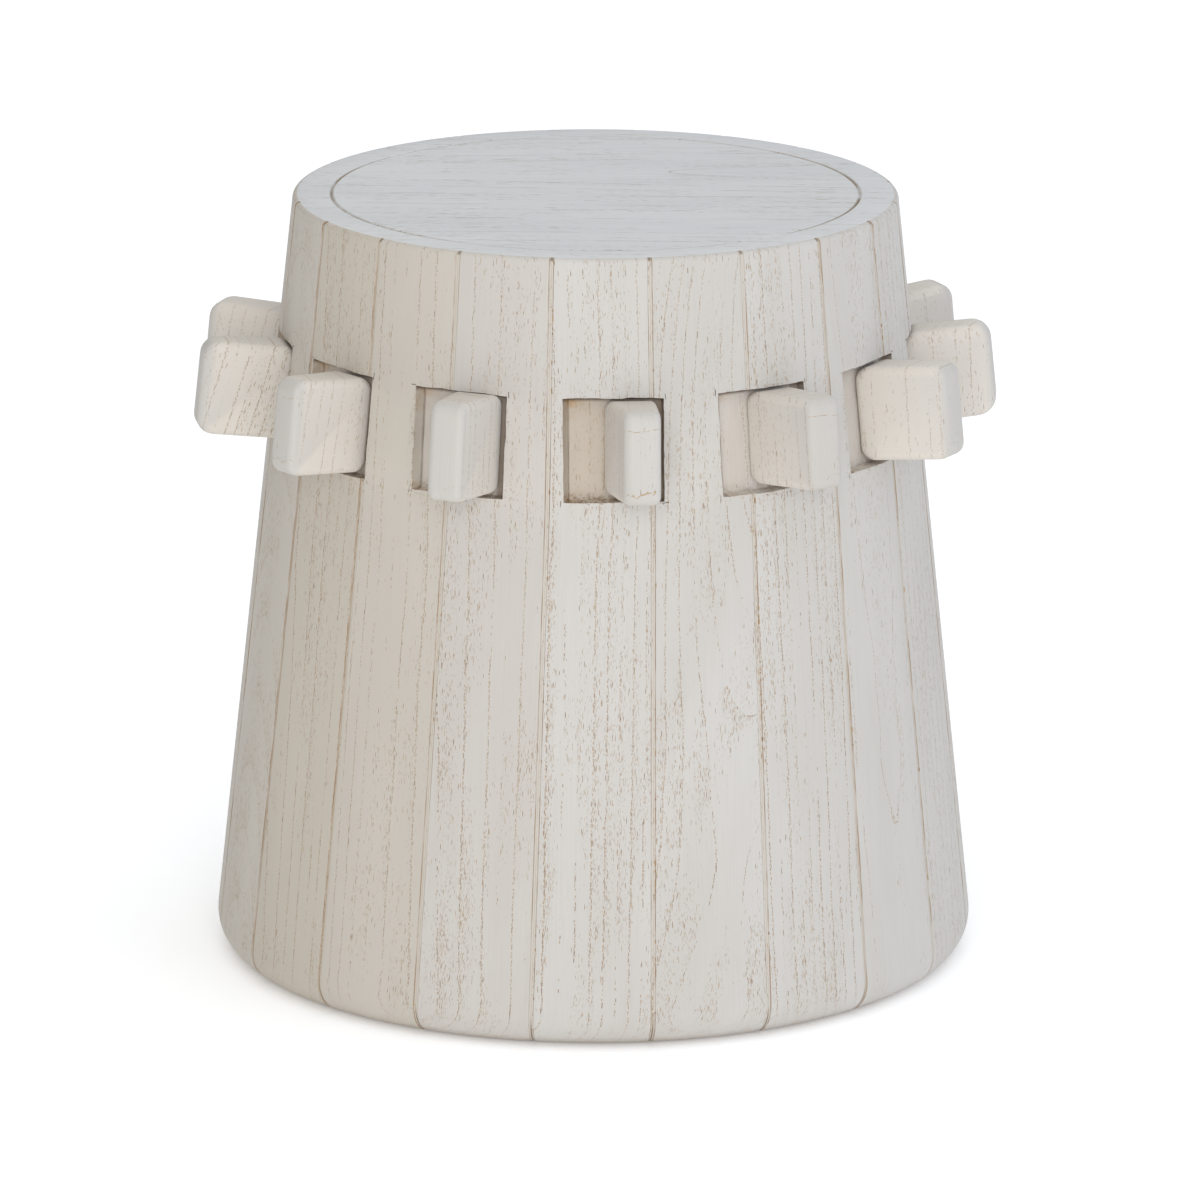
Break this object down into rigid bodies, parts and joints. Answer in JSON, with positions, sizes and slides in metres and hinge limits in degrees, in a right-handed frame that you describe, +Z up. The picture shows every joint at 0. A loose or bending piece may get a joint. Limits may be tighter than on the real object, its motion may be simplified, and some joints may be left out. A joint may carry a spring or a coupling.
{
  "type": "drum stool",
  "caption": "Low round drum stool of upright whitewashed wooden staves, with a flush round seat panel and a ring of blocks standing out of square mortises.",
  "frame": {"origin": "on the drum's axis, at the floor", "axes": "+Z up along the drum's axis, -Y towards the front of the picture, +X to the right of it"},
  "size_m": [0.477, 0.48, 0.457],
  "materials": {
    "stave_wood": "whitewashed, open pores, matt",
    "block_wood": "whitewashed, open pores, matt",
    "seat_wood": "whitewashed, open pores, matt",
    "inner_wood": "bare"
  },
  "bodies": {
    "root": {"stave_01": "stave_wood", "stave_02": "stave_wood", "stave_03": "stave_wood", "stave_04": "stave_wood", "stave_05": "stave_wood", "stave_06": "stave_wood", "stave_07": "stave_wood", "stave_08": "stave_wood", "stave_09": "stave_wood", "stave_10": "stave_wood", "stave_11": "stave_wood", "stave_12": "stave_wood", "stave_13": "stave_wood", "stave_14": "stave_wood", "stave_15": "stave_wood", "stave_16": "stave_wood", "stave_17": "stave_wood", "stave_18": "stave_wood", "stave_19": "stave_wood", "stave_20": "stave_wood", "block_01": "block_wood", "block_02": "block_wood", "block_03": "block_wood", "block_04": "block_wood", "block_05": "block_wood", "block_06": "block_wood", "block_07": "block_wood", "block_08": "block_wood", "block_09": "block_wood", "block_10": "block_wood", "block_11": "block_wood", "block_12": "block_wood", "block_13": "block_wood", "seat_panel": "seat_wood", "stave_splines": "inner_wood", "block_tenons": "inner_wood"}
  },
  "joints": []
}
